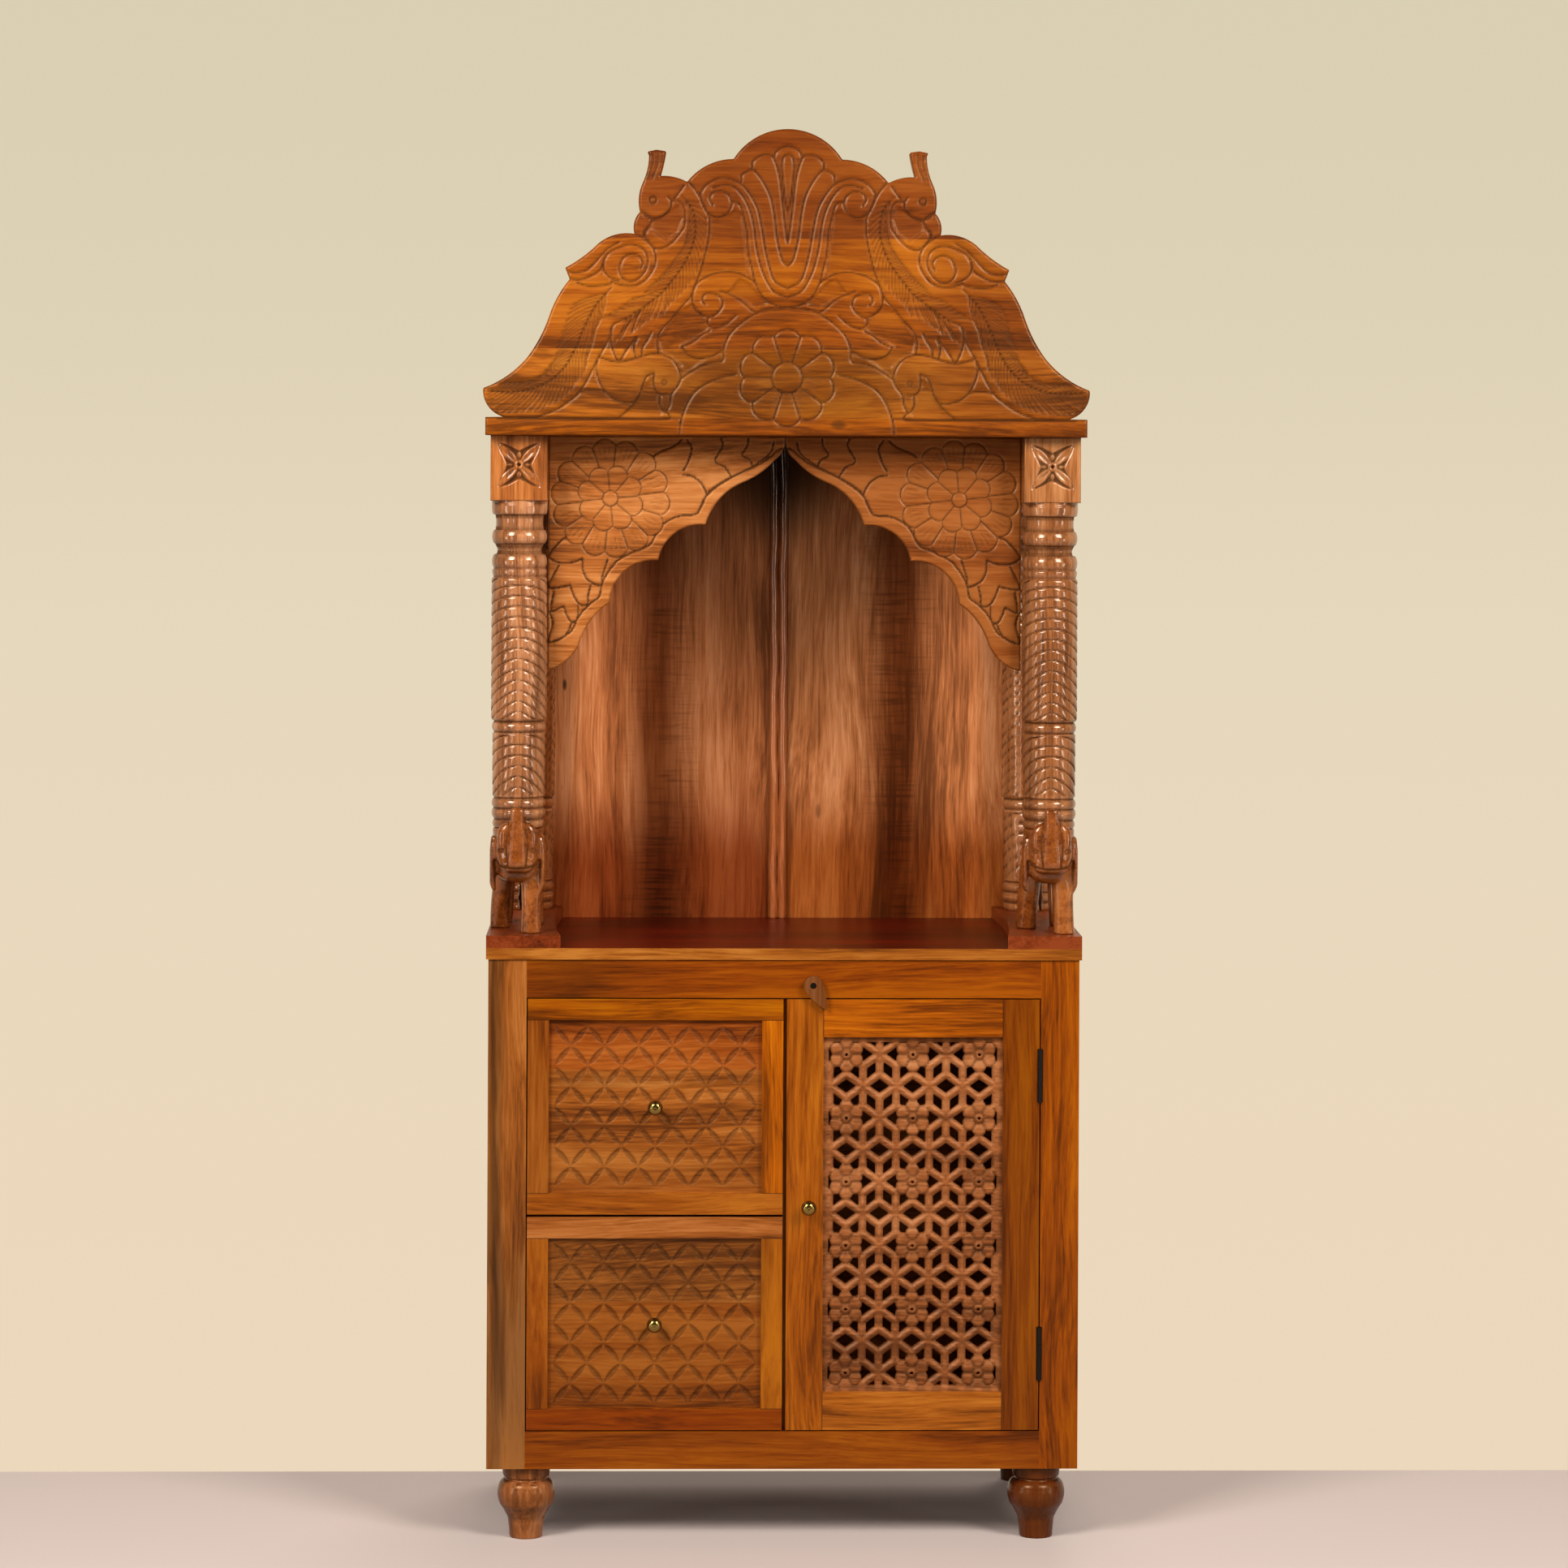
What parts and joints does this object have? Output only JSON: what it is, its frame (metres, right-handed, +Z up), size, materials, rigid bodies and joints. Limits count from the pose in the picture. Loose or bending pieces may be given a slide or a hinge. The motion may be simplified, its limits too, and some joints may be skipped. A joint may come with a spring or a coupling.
{
  "type": "carved wooden home altar cabinet",
  "caption": "Free-standing home altar of carved wood: an open shrine with a cusped arch on turned pillars and a peacock crest, above a cupboard with drawers and a lattice door.",
  "frame": {"origin": "on the floor under the middle of the whole box", "axes": "+Z up, +X to the viewer's right, -Y towards the viewer"},
  "size_m": [0.7762, 0.4271, 1.807],
  "materials": {
    "frame_wood": "honey brown hardwood under a thin satin lacquer",
    "carved_wood": "reddish brown carved hardwood, satin",
    "dark_wood": "deep red brown hardwood, glossy lacquer",
    "inner_wood": "plain unlacquered hardwood inside the cupboard",
    "brass": "aged cast brass",
    "black_iron": "blackened iron"
  },
  "bodies": {
    "root": {"foot_front_left": "frame_wood", "foot_front_right": "frame_wood", "foot_back_left": "frame_wood", "foot_back_right": "frame_wood", "post_left": "frame_wood", "post_right": "frame_wood", "rail_bottom": "frame_wood", "rail_top": "frame_wood", "side_left": "frame_wood", "side_right": "frame_wood", "cupboard_floor": "inner_wood", "cupboard_back": "inner_wood", "cupboard_divider": "inner_wood", "counter": "dark_wood", "drawer_runners_left": "inner_wood", "drawer_runners_right": "inner_wood", "hinge_upper_fixed": "black_iron", "hinge_lower_fixed": "black_iron", "turn_button_screw": "black_iron", "plinth_left": "dark_wood", "plinth_right": "dark_wood", "elephant_left": "carved_wood", "elephant_right": "carved_wood", "pillar_front_left": "frame_wood", "pillar_front_right": "frame_wood", "pillar_back_left": "frame_wood", "pillar_back_right": "frame_wood", "arch_left": "frame_wood", "arch_right": "frame_wood", "shrine_back_left": "dark_wood", "shrine_back_right": "dark_wood", "shrine_batten": "dark_wood", "shrine_roof": "frame_wood", "crest": "frame_wood"},
    "drawer_upper": {"drawer_upper_frame": "frame_wood", "drawer_upper_panel": "carved_wood", "drawer_upper_box": "inner_wood", "drawer_upper_knob": "brass"},
    "drawer_lower": {"drawer_lower_frame": "frame_wood", "drawer_lower_panel": "carved_wood", "drawer_lower_box": "inner_wood", "drawer_lower_knob": "brass"},
    "door": {"door_frame": "frame_wood", "door_lattice": "carved_wood", "door_knob": "brass", "hinge_upper_moving": "black_iron", "hinge_lower_moving": "black_iron"},
    "button": {"turn_button": "carved_wood"}
  },
  "joints": [
    {"name": "drawer_upper_slide", "type": "slide", "parent": "root", "child": "drawer_upper", "axis": [0, -1, 0], "range_m": [0, 0.26]},
    {"name": "drawer_lower_slide", "type": "slide", "parent": "root", "child": "drawer_lower", "axis": [0, -1, 0], "range_m": [0, 0.26]},
    {"name": "door_hinge", "type": "hinge", "parent": "root", "child": "door", "pos_m": [0.3282, -0.1905, 0.4195], "axis": [0, 0, 1], "range_deg": [0, 110]},
    {"name": "button_turn", "type": "hinge", "parent": "root", "child": "button", "pos_m": [0.037, -0.194, 0.7125], "axis": [0, -1, 0], "range_deg": [0, 66]}
  ]
}
